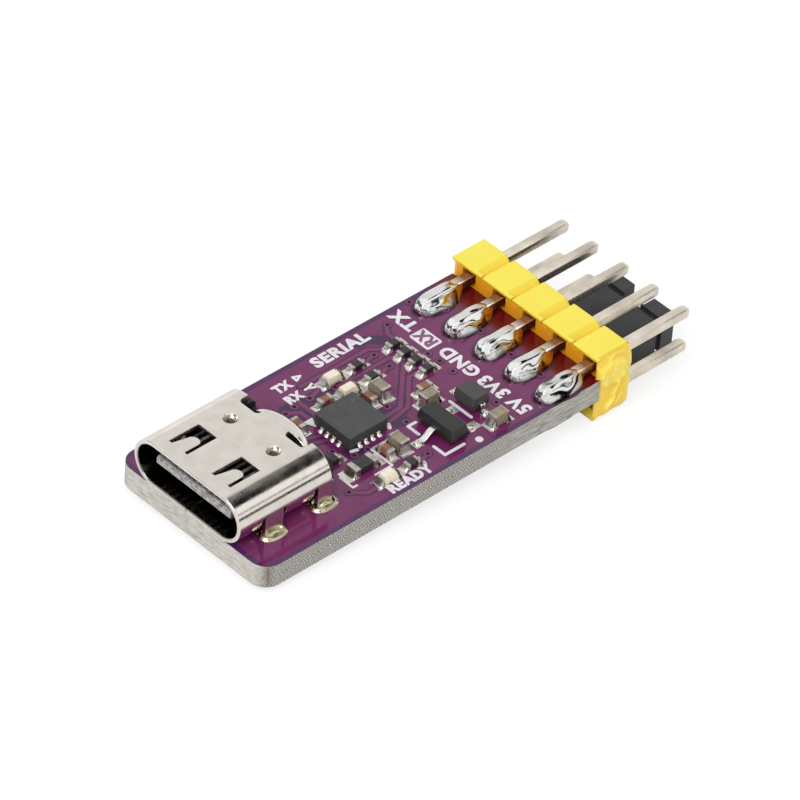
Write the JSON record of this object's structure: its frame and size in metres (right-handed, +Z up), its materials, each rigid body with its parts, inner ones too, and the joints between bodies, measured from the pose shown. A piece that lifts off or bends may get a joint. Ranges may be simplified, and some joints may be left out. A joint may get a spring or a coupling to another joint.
{
  "type": "usb to serial adapter module",
  "caption": "Small purple circuit board with a USB-C socket at one end and a yellow right-angle double-row pin header with a black jumper cap at the other.",
  "frame": {"origin": "middle of the part's box in plan, on the surface that the jumper cap's underside meets", "axes": "+X along the board from the USB socket to the header pins, +Y across the board, +Z up out of the side that carries the parts"},
  "size_m": [0.0346, 0.0126, 0.0065],
  "materials": {
    "black_plastic": "moulded",
    "board": "satin solder mask over glass fibre, sawn pale edges",
    "brown_ceramic": "capacitor body with tin ends",
    "epoxy": "moulded package",
    "gold_contact": "gold plated",
    "grey_ceramic": "capacitor body with tin ends",
    "led_lens": "milky resin",
    "pin_metal": "tin plated",
    "resistor_black": "resistor with tin ends",
    "shell_steel": "bright plated steel",
    "solder": "bright solder",
    "yellow_plastic": "moulded"
  },
  "bodies": {
    "adapter": {"bottom_pin_1": "pin_metal", "bottom_pin_2": "pin_metal", "bottom_pin_3": "pin_metal", "bottom_pin_4": "pin_metal", "bottom_pin_5": "pin_metal", "bottom_pin_solder": "solder", "chip_solder": "solder", "circuit_board": "board", "diode_body": "epoxy", "diode_leads": "pin_metal", "fuse": "resistor_black", "header_housing": "yellow_plastic", "large_capacitor_1": "grey_ceramic", "large_capacitor_2": "grey_ceramic", "large_capacitor_3": "grey_ceramic", "large_capacitor_4": "grey_ceramic", "ready_led": "led_lens", "receive_led": "led_lens", "regulator_body": "epoxy", "regulator_leads": "pin_metal", "resistor_1": "resistor_black", "resistor_2": "resistor_black", "resistor_3": "resistor_black", "resistor_4": "resistor_black", "resistor_5": "resistor_black", "resistor_6": "resistor_black", "resistor_7": "resistor_black", "resistor_8": "resistor_black", "serial_chip": "epoxy", "serial_chip_pads": "pin_metal", "shell_solder": "solder", "small_capacitor_1": "brown_ceramic", "small_capacitor_2": "brown_ceramic", "small_capacitor_3": "brown_ceramic", "small_capacitor_4": "brown_ceramic", "small_capacitor_5": "brown_ceramic", "top_pin_1": "pin_metal", "top_pin_2": "pin_metal", "top_pin_3": "pin_metal", "top_pin_4": "pin_metal", "top_pin_5": "pin_metal", "top_pin_solder": "solder", "transmit_led": "led_lens", "usb_contacts": "gold_contact", "usb_insulator": "black_plastic", "usb_mid_plate": "shell_steel", "usb_shell": "shell_steel", "usb_tongue": "black_plastic"},
    "jumper": {"jumper_cap": "black_plastic", "jumper_clip": "gold_contact"}
  },
  "joints": [
    {"name": "jumper_pull", "type": "slide", "parent": "adapter", "child": "jumper", "axis": [1, 0, 0], "range_m": [0, 0.008]}
  ]
}
